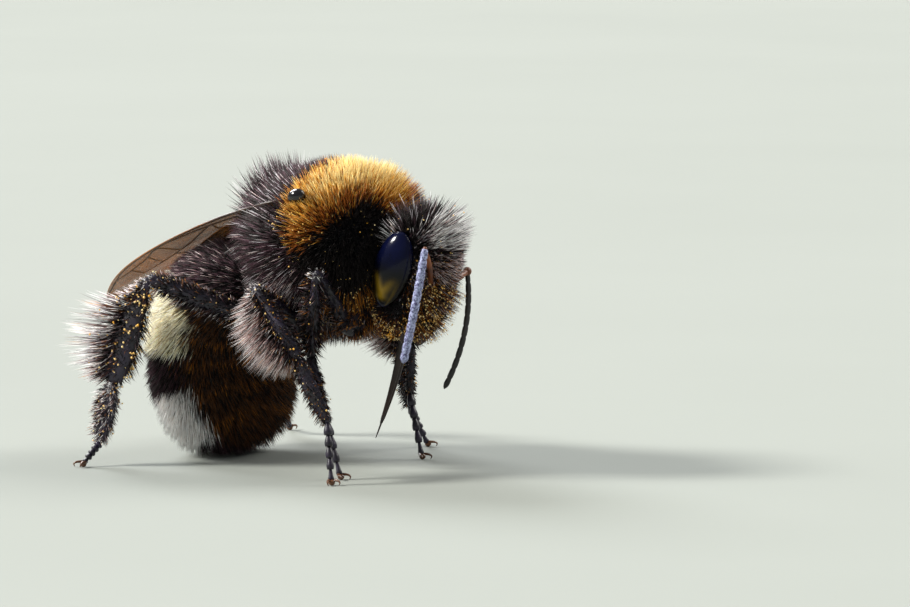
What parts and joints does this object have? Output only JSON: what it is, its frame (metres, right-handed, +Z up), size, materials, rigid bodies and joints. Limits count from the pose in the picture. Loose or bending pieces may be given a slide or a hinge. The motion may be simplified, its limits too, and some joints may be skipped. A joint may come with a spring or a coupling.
{
  "type": "worker bumblebee of the buff-tailed kind, feeding pose",
  "caption": "Furry bumblebee worker with bent-down head, golden collar, folded wings and a hanging abdomen, standing on its feet as if feeding; still, life-size, origin on the floor.",
  "frame": {"origin": "on the floor under the middle of the bee's outline", "axes": "+X the way the bee faces, +Y its left, +Z up"},
  "size_m": [0.0144, 0.0124, 0.0106],
  "materials": {
    "black_fur": "dense soft black-brown hair",
    "gold_fur": "dense soft golden-orange hair",
    "cream_fur": "soft pale yellow hair",
    "white_fur": "soft off-white hair",
    "chitin": "glossy black-brown shell with short hair",
    "eye": "polished faceted black",
    "wing": "clear brownish membrane with dark veins"
  },
  "bodies": {
    "root": {"head": "black_fur", "eye_right": "eye", "antenna_right_scape": "chitin", "antenna_right_flagellum": "chitin", "mandible_right": "chitin", "eye_left": "eye", "antenna_left_scape": "chitin", "antenna_left_flagellum": "chitin", "mandible_left": "chitin", "proboscis": "chitin", "thorax_collar": "gold_fur", "thorax_scutum": "black_fur", "thorax_scutellum": "black_fur", "tegula_right": "chitin", "forewing_right": "wing", "hindwing_right": "wing", "tegula_left": "chitin", "forewing_left": "wing", "hindwing_left": "wing", "abdomen_1": "black_fur", "abdomen_2": "cream_fur", "abdomen_3": "black_fur", "abdomen_4": "white_fur", "abdomen_5": "white_fur", "abdomen_6": "black_fur", "leg_front_right_coxa": "chitin", "leg_front_right_femur": "chitin", "leg_front_right_tibia": "chitin", "leg_front_right_basitarsus": "chitin", "leg_front_right_tarsus": "chitin", "leg_front_left_coxa": "chitin", "leg_front_left_femur": "chitin", "leg_front_left_tibia": "chitin", "leg_front_left_basitarsus": "chitin", "leg_front_left_tarsus": "chitin", "leg_middle_right_coxa": "chitin", "leg_middle_right_femur": "chitin", "leg_middle_right_tibia": "chitin", "leg_middle_right_basitarsus": "chitin", "leg_middle_right_tarsus": "chitin", "leg_middle_left_coxa": "chitin", "leg_middle_left_femur": "chitin", "leg_middle_left_tibia": "chitin", "leg_middle_left_basitarsus": "chitin", "leg_middle_left_tarsus": "chitin", "leg_hind_right_coxa": "chitin", "leg_hind_right_femur": "chitin", "leg_hind_right_tibia": "chitin", "leg_hind_right_basitarsus": "chitin", "leg_hind_right_tarsus": "chitin", "leg_hind_left_coxa": "chitin", "leg_hind_left_femur": "chitin", "leg_hind_left_tibia": "chitin", "leg_hind_left_basitarsus": "chitin", "leg_hind_left_tarsus": "chitin"}
  },
  "joints": []
}
